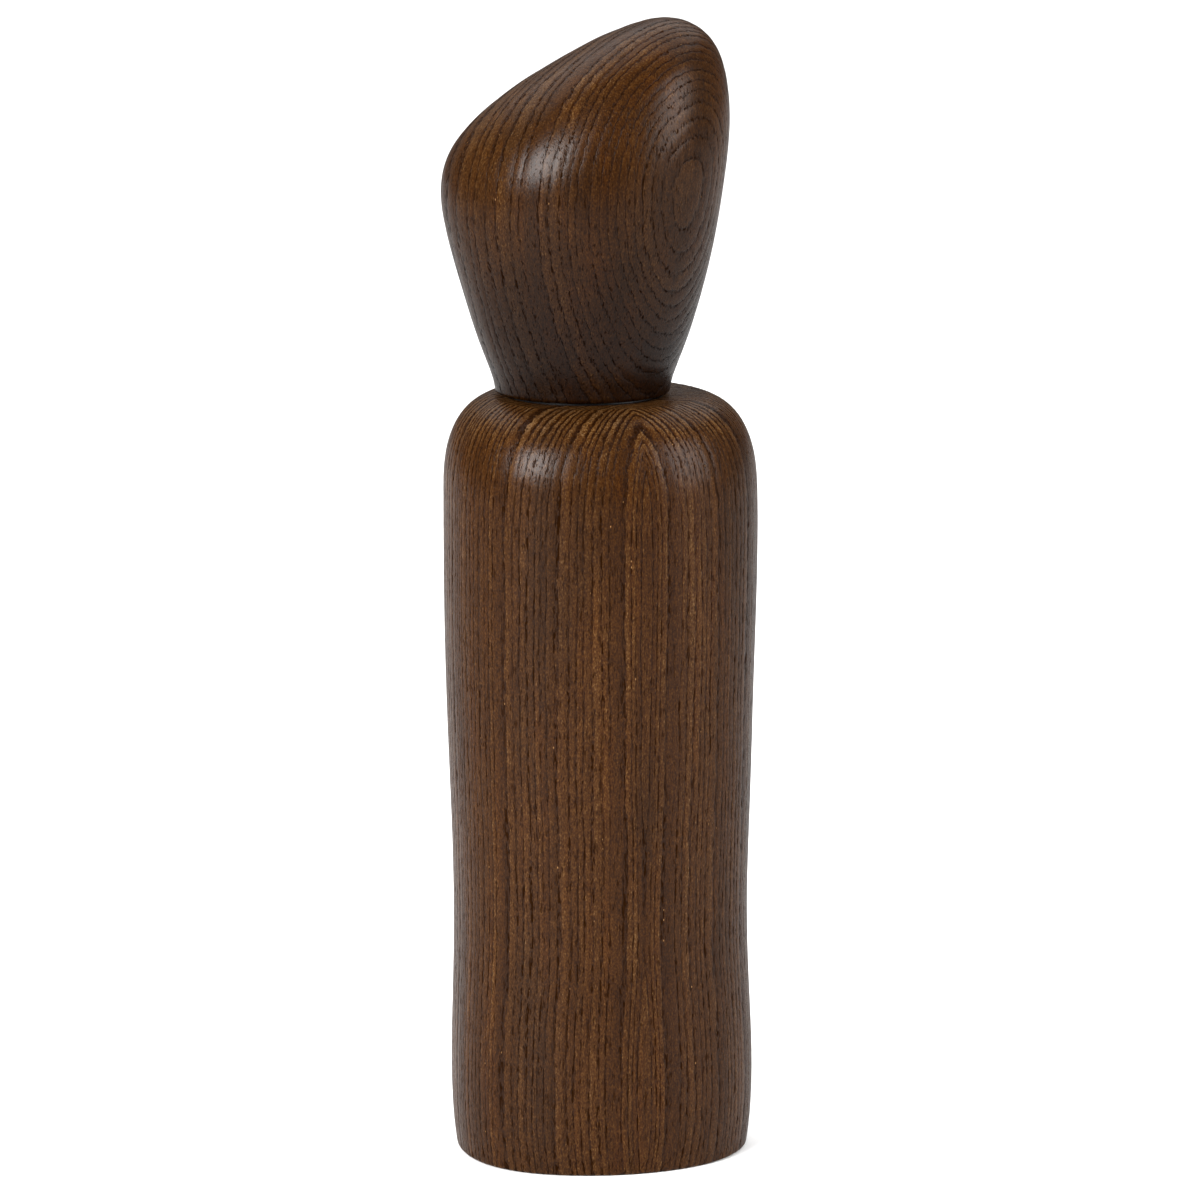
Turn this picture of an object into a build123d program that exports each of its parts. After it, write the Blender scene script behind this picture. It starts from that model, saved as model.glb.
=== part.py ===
"""Pepper mill with a turning pebble-shaped head, as an assembly of its separate pieces.

The wooden body and head are turned and carved ash.  A ceramic mill is screwed into the base.
The head turns a square aluminium shaft, which turns the inner burr.  The head pulls straight up
off the shaft to fill the body.  A knob under the base lifts the inner burr, for a finer grind.

Millimetres, +Z up.  The origin is on the spindle axis, in the plane of the base.
"""

import os
from math import cos, pi, radians, sin

from build123d import *

# ---------------------------------------------------------------- driving dimensions
BODY_TOP = 171.0  # flat top of the wooden body
HEAD_BASE = 171.6  # underside of the head, held off the body by the glide ring
BASE_EDGE_R = 1.0
HEAD_EDGE_R = 0.8

# Outline of the body above its base edge: height, half width, and how far its middle lies to
# +X of the spindle.
BASE_HALF_WIDTH = 32.75
BASE_OFFSET = 4.3
BODY_STATIONS = [
    (34.0, 33.5, 4.15),
    (52.0, 33.0, 4.0),
    (79.0, 33.6, 4.0),
    (106.0, 34.45, 3.85),
    (130.0, 35.0, 4.0),
]
SHOULDER_Z = 149.0
SHOULDER_HALF_WIDTH = 35.0
SHOULDER_OFFSET = 4.0
SHOULDER_SHIFT = -0.35  # change of the offset up to the flat top
SHOULDER_INSET = 11.5  # from the wall to the edge of the flat top
SHOULDER_POWER = 2.5
SHOULDER_STEPS = 6
SHOULDER_SWEEP = 80.0  # degrees of the quarter curve, so that it meets the flat top at an edge
BODY_OVAL = 0.005  # share of the half width by which the body is wider than deep
BODY_LOBE = 0.025  # share of the half width that makes the section softly three-sided
BODY_SQUARE = 0.011  # share of the half width that fills the section out on its diagonals

# Outline of the head above its base edge: left edge (x, z), right edge (x, z) and half depth of
# each tilted section.
HEAD_FOOT_R = 19.5
HEAD_STATIONS = [
    ((-22.5, 181.5), (22.5, 181.5), 22.5),
    ((-26.0, 192.3), (26.0, 192.3), 25.8),
    ((-29.2, 203.5), (29.0, 204.5), 28.8),
    ((-31.3, 214.5), (31.4, 219.0), 30.6),
    ((-30.3, 222.9), (32.6, 232.0), 29.8),
    ((-25.6, 230.4), (31.5, 243.4), 26.6),
    ((-17.5, 237.65), (27.9, 250.9), 21.6),
    ((-9.1, 243.2), (21.3, 254.6), 14.6),
    ((-1.5, 247.6), (13.8, 254.15), 7.4),
    ((4.2, 250.6), (8.2, 252.2), 2.1),
]

RESERVOIR_R = 14.5  # bore that holds the peppercorns
FLANGE_R = 22.4
FLANGE_Z = (4.8, 7.2)
RECESS_CLEAR = 0.1
FLANGE_SCREW_R = 1.2
FLANGE_SCREW_TIP = 14.5
FLANGE_SCREW_CIRCLE_R = 20.3
FLANGE_SCREW_ANGLES = (0, 120, 240)
BARREL_R = 17.8
BARREL_TOP = 33.8
MOUTH_R = 15.2  # top of the hopper cone
HOPPER_Z = (17.6, 30.4)

STATOR_Z = (7.4, 17.4)
STATOR_R = 14.6
STATOR_TIP_R = (12.05, 9.65)  # bottom, top
BURR_TAPER = (STATOR_TIP_R[0] - STATOR_TIP_R[1]) / (STATOR_Z[1] - STATOR_Z[0])
BURR_GAP = 0.45  # between tooth tips with the mill set to its coarsest grind
TOOTH_DEPTH = 0.75
STATOR_TEETH = 30
ROTOR_TEETH = 24
TOOTH_TWIST = 24.0  # degrees over the height of the burrs
ROTOR_Z = (7.2, 19.2)
ROTOR_TIP_R = [STATOR_TIP_R[0] - BURR_GAP + BURR_TAPER * (STATOR_Z[0] - z) for z in ROTOR_Z]
ROTOR_CLIP_R = (6.4, 8.4)
ROTOR_CLIP_Z = (6.45, 7.15)
KEY_WIDTH = 2.2  # of the three keys between the burr and its carrier

SHAFT_SIDE = 6.4
SHAFT_Z = (15.8, 187.0)
SHAFT_EDGE = 0.6
SOCKET_SIDE = 6.6
CLIP_GROOVE_R = 2.7
CLIP_Z = (28.85, 29.55)

CARRIER_R = 7.0
CARRIER_SKIRT_Z = 6.0
CARRIER_TOP = 23.0
WING_R = 10.3
WING_TURN = 40.0

BRIDGE_Z = (3.8, 4.8)  # plate of the bottom bridge
BRIDGE_R = (13.2, 18.4)
BRIDGE_ARM_TOP = 5.6
BRIDGE_HUB_R = 4.8
BRIDGE_HUB_TOP = 9.0
ARM_WIDTH = 3.4
ARM_ANGLES = (60, 180, 300)  # leaves one window facing +X
BRIDGE_SCREW_R = 0.9
BRIDGE_SCREW_TIP = 11.0
BRIDGE_SCREW_CIRCLE_R = 16.5
BRIDGE_SCREW_ANGLES = (30, 150, 270)

SCREW_R = 3.0  # M6 adjuster screw
SCREW_PITCH = 1.0
SCREW_Z = (1.4, 9.4)
RUNNING_GAP = 0.05
KNOB_R = 7.5
KNOB_Z = (0.8, 2.8)
KNOB_FLUTES = 20
BALL_R = 2.0
O_RING_Z = 8.2
O_RING_SECTION = 0.5

TENON_R = 14.2
TENON_BOTTOM = 161.6
STOPPER_R = 9.55
STOPPER_TOP = 175.5
STOPPER_FLANGE_R = 13.4
STOPPER_BOTTOM = 160.0
SHAFT_POCKET_R = 5.2
SHAFT_POCKET_TOP = 190.0
STOPPER_SCREW_R = 1.0
STOPPER_SCREW_TIP = 170.0
STOPPER_SCREW_CIRCLE_R = 11.6
STOPPER_SCREW_ANGLES = (0, 120, 240)
GRIP_CLIP_Z = 170.2
GRIP_WIRE_R = 0.5
GRIP_HALF_GAP = SHAFT_SIDE / 2 + GRIP_WIRE_R + 0.05  # from the shaft's axis to the wire's
GRIP_BEND_X = -3.6
GRIP_END_X = 7.4

GLIDE_R = (14.7, 17.0)
GLIDE_Z = (170.0, 171.55)

SPRING_R = 6.2
SPRING_WIRE_R = 0.45
SPRING_Z = (CARRIER_TOP, 29.6)
SPRING_TURNS = 4
WASHER_Z = (29.6, 30.2)
BEARING_Z = (30.4, 33.0)
BEARING_RING_R = (14.8, 16.4)
BEARING_HUB_R = 7.2
BEARING_ARM_WIDTH = 2.8
BUSH_R = 5.0

EDGE_START = 10.0  # degrees round the quarter circle at which a rounded edge leaves the flat
EDGE_ANGLES = (30, 60, 90)

MIN_Z = (Align.CENTER, Align.CENTER, Align.MIN)
SECTION_POINTS = 36


# ---------------------------------------------------------------- shared shapes
def cylinder(radius, low, high, x=0.0, y=0.0):
    return Pos(x, y, low) * Cylinder(radius, high - low, align=MIN_Z)


def ring(inner, outer, low, high):
    return cylinder(outer, low, high) - cylinder(inner, low - 1, high + 1)


def block(size_x, size_y, low, high, x=0.0, y=0.0):
    return Pos(x, y, low) * Box(size_x, size_y, high - low, align=MIN_Z)


def polar(radius, angle):
    return radius * cos(radians(angle)), radius * sin(radians(angle))


def turned(profile):
    """Solid of revolution about Z from (radius, z) points."""
    points = [(r, 0, z) for r, z in profile]
    return revolve(make_face(Polyline(*points, close=True)), Axis.Z)


def square_bar(side, low, high, edge=0.0):
    bar = block(side, side, low, high)
    return fillet(bar.edges().filter_by(Axis.Z), edge) if edge else bar


def pebble_section(plane, half_width, half_depth, lobe=0.0, square=0.0):
    """Closed smooth curve from its support function: an oval, softly three-sided and squared.

    It starts and ends at the back, with the same tangent.
    """
    mean = (half_width + half_depth) / 2 + square
    oval = (half_width - half_depth) / 2
    points = []
    for i in range(SECTION_POINTS + 1):
        a = 2 * pi * (i / SECTION_POINTS + 0.25)
        reach = mean + oval * cos(2 * a) + lobe * cos(3 * a) - square * cos(4 * a)
        slope = -2 * oval * sin(2 * a) - 3 * lobe * sin(3 * a) + 4 * square * sin(4 * a)
        x = reach * cos(a) - slope * sin(a)
        y = reach * sin(a) + slope * cos(a)
        points.append(plane.from_local_coords(Vector(x, y, 0)))
    return Wire([Edge.make_spline(points, tangents=(-plane.x_dir, -plane.x_dir))])


def toothed_face(count, tip_r, root_r, z, turn):
    """Star-shaped face with flat-topped teeth, turned by an angle."""
    step = 360 / count
    points = []
    for i in range(count):
        a = turn + i * step
        points.append((*polar(root_r, a), z))
        points.append((*polar(root_r, a + 0.25 * step), z))
        points.append((*polar(tip_r, a + 0.55 * step), z))
        points.append((*polar(tip_r, a + 0.75 * step), z))
    return make_face(Polyline(*points, close=True))


def machine_screw(radius, head_r, head_low, head_high, tip):
    """Pan-headed screw pointing up, with a cross recess in its head."""
    head = cylinder(head_r, head_low, head_high)
    head = chamfer(head.edges().sort_by(Axis.Z)[0], 0.25)
    shank = cylinder(radius, head_high, tip)
    shank = chamfer(shank.edges().sort_by(Axis.Z)[-1], 0.6 * radius)
    slot = 0.35 * head_r
    depth = 0.45 * (head_high - head_low)
    cross = block(1.2 * head_r, slot, head_low - 1, head_low + depth)
    cross += block(slot, 1.2 * head_r, head_low - 1, head_low + depth)
    return head + shank - cross


# ---------------------------------------------------------------- wooden pieces
def rounded_edge(radius):
    """Rise and inset of points round a quarter circle, from the flat base up to the wall."""
    first = radius * (1 - sin(radians(EDGE_START)))
    points = [(0.0, first)]
    for a in EDGE_ANGLES:
        points.append((radius * (1 - cos(radians(a))), radius * (1 - sin(radians(a)))))
    return points


def shoulder_curve():
    """Rise and inset, as shares of one, of points round the superelliptic shoulder."""
    points = []
    for i in range(SHOULDER_STEPS + 1):
        a = radians(SHOULDER_SWEEP * i / SHOULDER_STEPS)
        points.append((sin(a) ** (2 / SHOULDER_POWER), 1 - cos(a) ** (2 / SHOULDER_POWER)))
    last_rise, last_inset = points[-1]
    return [(rise / last_rise, inset / last_inset) for rise, inset in points]


def body_outside():
    """Outer form of the body, lofted up its base edge, its stations and its shoulder."""
    stations = [
        (rise, BASE_HALF_WIDTH - inset, BASE_OFFSET) for rise, inset in rounded_edge(BASE_EDGE_R)
    ]
    stations += BODY_STATIONS
    for rise, inset in shoulder_curve():
        z = SHOULDER_Z + (BODY_TOP - SHOULDER_Z) * rise
        half_width = SHOULDER_HALF_WIDTH - SHOULDER_INSET * inset
        stations.append((z, half_width, SHOULDER_OFFSET + SHOULDER_SHIFT * rise))
    wires = []
    for z, half_width, offset in stations:
        lobe = BODY_LOBE * half_width
        square = BODY_SQUARE * half_width
        half_depth = half_width * (1 - 2 * BODY_OVAL)
        plane = Plane(origin=(offset - lobe, 0, z))
        wires.append(pebble_section(plane, half_width, half_depth, lobe, square))
    return Solid.make_loft(wires)


def body_shell():
    bore = cylinder(RESERVOIR_R, -1, BODY_TOP + 1)
    barrel_bore = cylinder(BARREL_R + RECESS_CLEAR, -1, BARREL_TOP + 0.2)
    flange_recess = cylinder(FLANGE_R + RECESS_CLEAR, -1, FLANGE_Z[1])
    glide_seat = cylinder(GLIDE_R[1] + 0.05, GLIDE_Z[0], BODY_TOP + 1)
    shell = Part() + body_outside() - bore - barrel_bore - flange_recess - glide_seat
    for x, y in flange_screw_places():
        shell -= cylinder(FLANGE_SCREW_R, 0, FLANGE_SCREW_TIP, x, y)
    return shell


def head_outside():
    """Outer form of the head: sections that tilt until they follow the slanting crown."""
    stations = []
    for rise, inset in rounded_edge(HEAD_EDGE_R):
        r = HEAD_FOOT_R - inset
        stations.append(((-r, HEAD_BASE + rise), (r, HEAD_BASE + rise), r))
    stations += HEAD_STATIONS
    wires = []
    for (left_x, left_z), (right_x, right_z), half_depth in stations:
        across = Vector(right_x - left_x, 0, right_z - left_z)
        middle = ((left_x + right_x) / 2, 0, (left_z + right_z) / 2)
        normal = across.cross(Vector(0, 1, 0))
        plane = Plane(origin=middle, x_dir=across, z_dir=normal)
        wires.append(pebble_section(plane, across.length / 2, half_depth))
    return Solid.make_loft(wires)


def head_block():
    tenon = cylinder(TENON_R, TENON_BOTTOM, HEAD_BASE + 3)
    tenon = chamfer(tenon.edges().sort_by(Axis.Z)[0], 0.6)
    head = Part() + head_outside() + tenon
    head -= cylinder(STOPPER_R + 0.05, TENON_BOTTOM - 1, STOPPER_TOP + 0.5)
    head -= cylinder(SHAFT_POCKET_R, STOPPER_TOP, SHAFT_POCKET_TOP)
    for x, y in stopper_screw_places():
        head -= cylinder(STOPPER_SCREW_R, TENON_BOTTOM - 1, STOPPER_SCREW_TIP, x, y)
    return head


# ---------------------------------------------------------------- fixed pieces in the body
def glide_ring():
    body = ring(*GLIDE_R, *GLIDE_Z)
    top_edges = body.edges().filter_by(GeomType.CIRCLE).group_by(Axis.Z)[-1]
    return chamfer(top_edges, 0.25)


def flange_screw_places():
    return [polar(FLANGE_SCREW_CIRCLE_R, a) for a in FLANGE_SCREW_ANGLES]


def bridge_screw_places():
    return [polar(BRIDGE_SCREW_CIRCLE_R, a) for a in BRIDGE_SCREW_ANGLES]


def mill_housing():
    """Plastic cup: flange below, stator seat, hopper cone and a seat for the shaft bearing."""
    inner_top = BEARING_RING_R[1] + 0.05
    profile = [
        (STATOR_R + 0.05, FLANGE_Z[0]),
        (FLANGE_R, FLANGE_Z[0]),
        (FLANGE_R, FLANGE_Z[1]),
        (BARREL_R, FLANGE_Z[1]),
        (BARREL_R, BARREL_TOP),
        (inner_top, BARREL_TOP),
        (inner_top, HOPPER_Z[1]),
        (MOUTH_R - 0.6, HOPPER_Z[1]),
        (STATOR_TIP_R[1] + 1.3, HOPPER_Z[0]),
        (STATOR_R + 0.05, HOPPER_Z[0]),
    ]
    housing = turned(profile)
    for x, y in flange_screw_places():
        housing -= cylinder(FLANGE_SCREW_R + 0.1, 0, BARREL_TOP / 2, x, y)
    for x, y in bridge_screw_places():
        housing -= cylinder(BRIDGE_SCREW_R, 0, BRIDGE_SCREW_TIP, x, y)
    for a in ARM_ANGLES:  # ribs that stop the housing turning in the wood
        rib = block(0.8, 1.6, FLANGE_Z[1], FLANGE_Z[1] + 12, BARREL_R - 0.35, 0)
        housing += Rot(0, 0, a) * rib
    return housing


def flange_screws():
    screw = machine_screw(FLANGE_SCREW_R, 1.9, FLANGE_Z[0] - 1.3, FLANGE_Z[0], FLANGE_SCREW_TIP)
    return Compound([Pos(x, y, 0) * screw for x, y in flange_screw_places()])


def stator_ring():
    """Outer ceramic burr: a ring with slanting teeth on its tapered inner wall."""
    low, high = STATOR_Z
    faces = [
        toothed_face(STATOR_TEETH, tip, tip + TOOTH_DEPTH, z, turn)
        for tip, z, turn in zip(STATOR_TIP_R, STATOR_Z, (0, TOOTH_TWIST))
    ]
    hollow = loft(faces, ruled=True)
    outer = chamfer(cylinder(STATOR_R, low, high).edges().filter_by(GeomType.CIRCLE), 0.3)
    return outer - hollow


def bottom_bridge():
    """Clamps the stator from below and carries the adjuster in its threaded hub."""
    plate = ring(*BRIDGE_R, *BRIDGE_Z)
    spigot = ring(BRIDGE_R[0], STATOR_R, BRIDGE_Z[1], STATOR_Z[0])
    bridge = plate + spigot + cylinder(BRIDGE_HUB_R, BRIDGE_Z[0], BRIDGE_HUB_TOP)
    reach = BRIDGE_R[0] + 0.5
    for a in ARM_ANGLES:
        arm = block(reach, ARM_WIDTH, BRIDGE_Z[0], BRIDGE_ARM_TOP, reach / 2, 0)
        bridge += Rot(0, 0, a) * arm
    bridge -= cylinder(SCREW_R + RUNNING_GAP, 0, BRIDGE_HUB_TOP + 1)
    for x, y in bridge_screw_places():
        bridge -= cylinder(BRIDGE_SCREW_R + 0.1, 0, BRIDGE_Z[1] + 1, x, y)
    return bridge


def bridge_screws():
    screw = machine_screw(BRIDGE_SCREW_R, 1.6, BRIDGE_Z[0] - 1.0, BRIDGE_Z[0], BRIDGE_SCREW_TIP)
    return Compound([Pos(x, y, 0) * screw for x, y in bridge_screw_places()])


def shaft_bearing():
    """Three-armed bearing in the mouth of the housing, open for the peppercorns to fall past."""
    low, high = BEARING_Z
    bearing = ring(*BEARING_RING_R, low, BARREL_TOP)
    bearing += cylinder(BEARING_HUB_R, low, high)
    reach = BEARING_RING_R[0] + 0.5
    for a in ARM_ANGLES:
        arm = block(reach, BEARING_ARM_WIDTH, low, high, reach / 2, 0)
        bearing += Rot(0, 0, a) * arm
    return bearing - cylinder(BUSH_R + RUNNING_GAP, 0, BARREL_TOP + 1)


# ---------------------------------------------------------------- turning pieces
def drive_shaft():
    low, high = SHAFT_Z
    shaft = square_bar(SHAFT_SIDE, low, high, SHAFT_EDGE)
    groove = ring(CLIP_GROOVE_R, SHAFT_SIDE, *CLIP_Z)
    taper = turned([
        (SHAFT_SIDE * 0.5, high + 1),
        (SHAFT_SIDE, high + 1),
        (SHAFT_SIDE, high - SHAFT_SIDE * 0.5 - 1),
    ])
    return shaft - groove - taper


def shaft_bush():
    """Plastic sleeve fixed on the shaft: runs in the bearing and hangs the shaft from its collar."""
    collar_top = BEARING_Z[1] + 1.6
    bush = cylinder(BUSH_R, BEARING_Z[0], collar_top)
    bush += cylinder(BUSH_R + 1.6, BEARING_Z[1] + 0.1, collar_top)
    bush = chamfer(bush.edges().filter_by(GeomType.CIRCLE).group_by(Axis.Z)[-1], 0.4)
    return bush - square_bar(SHAFT_SIDE, 0, 60, SHAFT_EDGE)


def shaft_clip():
    """E-clip in the groove of the shaft, under the washer."""
    clip = ring(CLIP_GROOVE_R, 5.2, *CLIP_Z)
    return clip - block(8, 3.4, 0, 60, 4, 0)


def spring_washer():
    hole = square_bar(SHAFT_SIDE + 0.1, 0, 60, SHAFT_EDGE)
    return cylinder(SPRING_R + 0.9, *WASHER_Z) - hole


def pressure_spring():
    """Coil spring that holds the inner burr down on the adjuster."""
    low, high = SPRING_Z
    travel = high - low - 2 * SPRING_WIRE_R - 0.02
    path = Wire([Edge.make_helix(travel / SPRING_TURNS, travel, SPRING_R)])
    path = path.moved(Location((0, 0, low + SPRING_WIRE_R + 0.01)))
    start = Plane(origin=path @ 0, z_dir=path % 0)
    return sweep(start * Circle(SPRING_WIRE_R), path=path, is_frenet=True)


# ---------------------------------------------------------------- inner burr on its carrier
def rotor_carrier():
    """Plastic hub that slides on the shaft, with three wings that feed the burrs."""
    carrier = cylinder(CARRIER_R, CARRIER_SKIRT_Z, CARRIER_TOP)
    carrier += cylinder(ROTOR_TIP_R[1] - TOOTH_DEPTH, ROTOR_Z[1], ROTOR_Z[1] + 1.2)
    root = (CARRIER_R + WING_R) / 2 - 0.5
    wing_base = (0, 0, ROTOR_Z[1])
    wing_rise = (0, 0, CARRIER_TOP - ROTOR_Z[1] - 0.4)
    for i in range(3):
        vane = Pos(root, 0, ROTOR_Z[1]) * Rectangle(WING_R - CARRIER_R + 1, 1.8)
        twisted = Solid.extrude_linear_with_rotation(vane.face(), wing_base, wing_rise, WING_TURN)
        carrier += Rot(0, 0, 120 * i) * twisted
        carrier += Rot(0, 0, 120 * i) * block(1.0, KEY_WIDTH, *ROTOR_Z, CARRIER_R + 0.2, 0)
    carrier -= cylinder(BRIDGE_HUB_R + 0.4, 0, BRIDGE_HUB_TOP + 1.4)
    carrier -= cylinder(BALL_R + 0.1, 0, SCREW_Z[1] + 2 * BALL_R)
    carrier -= square_bar(SOCKET_SIDE, SHAFT_Z[0] - 1.2, CARRIER_TOP + 1)
    return carrier - ring(ROTOR_CLIP_R[0], CARRIER_R + 2, *ROTOR_CLIP_Z)


def rotor_cone():
    """Inner ceramic burr: a cone with slanting teeth, keyed to the carrier."""
    faces = [
        toothed_face(ROTOR_TEETH, tip, tip - TOOTH_DEPTH, z, turn)
        for tip, z, turn in zip(ROTOR_TIP_R, ROTOR_Z, (0, -TOOTH_TWIST))
    ]
    cone = loft(faces, ruled=True) - cylinder(CARRIER_R + 0.03, 0, 40)
    for i in range(3):
        key_way = block(1.6, KEY_WIDTH + 0.06, 0, 40, CARRIER_R, 0)
        cone -= Rot(0, 0, 120 * i) * key_way
    return cone


def rotor_clip():
    """Spring-steel ring in the groove of the carrier, which keeps the burr on it."""
    clip = ring(*ROTOR_CLIP_R, *ROTOR_CLIP_Z)
    return clip - block(8, 2.4, 0, 40, 6, 0)


# ---------------------------------------------------------------- grind adjuster
def thrust_ball():
    return Pos(0, 0, SCREW_Z[1] + BALL_R) * Sphere(BALL_R)


def adjuster_screw():
    screw = chamfer(cylinder(SCREW_R, *SCREW_Z).edges().sort_by(Axis.Z)[-1], 0.5)
    groove = ring(SCREW_R - 2 * O_RING_SECTION, SCREW_R + 1, O_RING_Z - 0.55, O_RING_Z + 0.55)
    return screw - groove


def adjuster_o_ring():
    return Pos(0, 0, O_RING_Z) * Torus(SCREW_R - O_RING_SECTION, O_RING_SECTION)


def adjuster_knob():
    knob = chamfer(cylinder(KNOB_R, *KNOB_Z).edges().filter_by(GeomType.CIRCLE), 0.3)
    for i in range(KNOB_FLUTES):
        x, y = polar(KNOB_R + 0.35, 360 * i / KNOB_FLUTES)
        knob -= cylinder(0.75, 0, KNOB_Z[1] + 1, x, y)
    grip = block(2 * KNOB_R - 4, 1.4, 0, KNOB_Z[0] + 0.6)  # slot for a coin
    knob -= grip
    return knob - cylinder(SCREW_R, SCREW_Z[0], KNOB_Z[1] + 1)


# ---------------------------------------------------------------- head fittings
def stopper_screw_places():
    return [polar(STOPPER_SCREW_CIRCLE_R, a) for a in STOPPER_SCREW_ANGLES]


def head_stopper():
    """Plastic plug in the head with the square socket that the shaft drives through."""
    stopper = cylinder(STOPPER_R, STOPPER_BOTTOM, STOPPER_TOP)
    stopper += cylinder(STOPPER_FLANGE_R, STOPPER_BOTTOM, TENON_BOTTOM)
    stopper = chamfer(stopper.edges().filter_by(GeomType.CIRCLE).group_by(Axis.Z)[0], 0.4)
    stopper -= square_bar(SOCKET_SIDE, STOPPER_BOTTOM - 1, STOPPER_TOP + 1)
    low = STOPPER_BOTTOM - 0.5
    high = low + 2.4
    stopper -= turned([(0, low), (5.6, low), (3.2, high), (0, high)])
    slot = GRIP_WIRE_R + 0.1
    slot_back = GRIP_BEND_X - GRIP_HALF_GAP - slot
    slot_size = STOPPER_R + 1 - slot_back  # open at the side, so that the wire can be pushed in
    stopper -= block(
        slot_size,
        2 * (GRIP_HALF_GAP + slot),
        GRIP_CLIP_Z - slot,
        GRIP_CLIP_Z + slot,
        slot_back + slot_size / 2,
        0,
    )
    for x, y in stopper_screw_places():
        stopper -= cylinder(STOPPER_SCREW_R + 0.1, 0, TENON_BOTTOM + 1, x, y)
    return stopper


def stopper_clip():
    """Spring-wire hairpin across the socket that grips the flats of the shaft."""
    gap, z = GRIP_HALF_GAP, GRIP_CLIP_Z
    leg_a = Line((GRIP_END_X, gap, z), (GRIP_BEND_X, gap, z))
    bend = ThreePointArc(leg_a @ 1, (GRIP_BEND_X - gap, 0, z), (GRIP_BEND_X, -gap, z))
    leg_b = Line(bend @ 1, (GRIP_END_X, -gap, z))
    path = Wire([leg_a.edge(), bend.edge(), leg_b.edge()])
    start = Plane(origin=path @ 0, z_dir=path % 0)
    return sweep(start * Circle(GRIP_WIRE_R), path=path)


def stopper_screws():
    screw = machine_screw(STOPPER_SCREW_R, 1.7, STOPPER_BOTTOM - 1.1, STOPPER_BOTTOM, STOPPER_SCREW_TIP)
    return Compound([Pos(x, y, 0) * screw for x, y in stopper_screw_places()])


NODES = [
    body_shell,
    glide_ring,
    mill_housing,
    flange_screws,
    stator_ring,
    bottom_bridge,
    bridge_screws,
    shaft_bearing,
    drive_shaft,
    shaft_bush,
    shaft_clip,
    spring_washer,
    pressure_spring,
    rotor_carrier,
    rotor_cone,
    rotor_clip,
    thrust_ball,
    adjuster_screw,
    adjuster_o_ring,
    adjuster_knob,
    head_block,
    head_stopper,
    stopper_clip,
    stopper_screws,
]


def main():
    os.makedirs("parts", exist_ok=True)
    for make in NODES:
        export_step(make(), f"parts/{make.__name__}.step")


main()
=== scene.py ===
"""Pepper mill in dark-stained ash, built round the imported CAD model."""

from math import atan2, cos, pi, radians, sin

import bpy
import numpy as np
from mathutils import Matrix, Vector
from mathutils.bvhtree import BVHTree


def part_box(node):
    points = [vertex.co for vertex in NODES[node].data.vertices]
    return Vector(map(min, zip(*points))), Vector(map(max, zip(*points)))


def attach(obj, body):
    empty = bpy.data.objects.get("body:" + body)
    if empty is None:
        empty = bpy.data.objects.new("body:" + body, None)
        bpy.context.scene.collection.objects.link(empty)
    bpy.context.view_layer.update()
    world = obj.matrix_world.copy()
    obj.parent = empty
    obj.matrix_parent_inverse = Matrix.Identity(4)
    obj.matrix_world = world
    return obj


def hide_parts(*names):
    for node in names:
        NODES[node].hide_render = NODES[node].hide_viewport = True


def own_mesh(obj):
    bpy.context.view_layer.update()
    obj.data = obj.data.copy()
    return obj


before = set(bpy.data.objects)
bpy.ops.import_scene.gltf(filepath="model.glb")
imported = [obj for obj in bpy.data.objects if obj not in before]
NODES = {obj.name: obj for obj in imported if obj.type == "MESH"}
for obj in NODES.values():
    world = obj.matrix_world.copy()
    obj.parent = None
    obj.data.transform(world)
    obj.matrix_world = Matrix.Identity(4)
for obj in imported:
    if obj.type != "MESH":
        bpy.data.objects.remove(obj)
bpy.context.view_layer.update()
MM = 0.001

# ---------------------------------------------------------------- camera, matched to the photograph
CAMERA_PLACE = (3.9 * MM, -1700 * MM, 433 * MM)
CAMERA_PITCH = 10.29  # degrees below the horizon
CAMERA_LENS = 232
CAMERA_SENSOR = 36

# ---------------------------------------------------------------- sizes read from the CAD nodes
BODY_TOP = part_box("body_shell")[1].z
HEAD_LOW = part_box("head_block")[0]
GLIDE_LOW, GLIDE_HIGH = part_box("glide_ring")
HOUSING_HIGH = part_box("mill_housing")[1]
STOPPER_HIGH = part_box("head_stopper")[1]
SPRING_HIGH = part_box("pressure_spring")[1]

BODY_MIDDLE_X = 4.0 * MM
HEAD_BASE = 171.6 * MM
RESERVOIR_R = 14.5 * MM
GLIDE_SEAT_R = GLIDE_HIGH.x + 0.05 * MM
BARREL_BORE_R = 17.9 * MM
BARREL_BORE_TOP = HOUSING_HIGH.z + 0.2 * MM
FLANGE_BORE_R = HOUSING_HIGH.x + 0.1 * MM
FLANGE_BORE_TOP = 7.2 * MM
TENON_R = 14.2 * MM
TENON_EDGE = 0.6 * MM
STOPPER_BORE_R = 9.6 * MM
POCKET_R = 5.2 * MM
POCKET_TOP = 190 * MM

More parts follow.
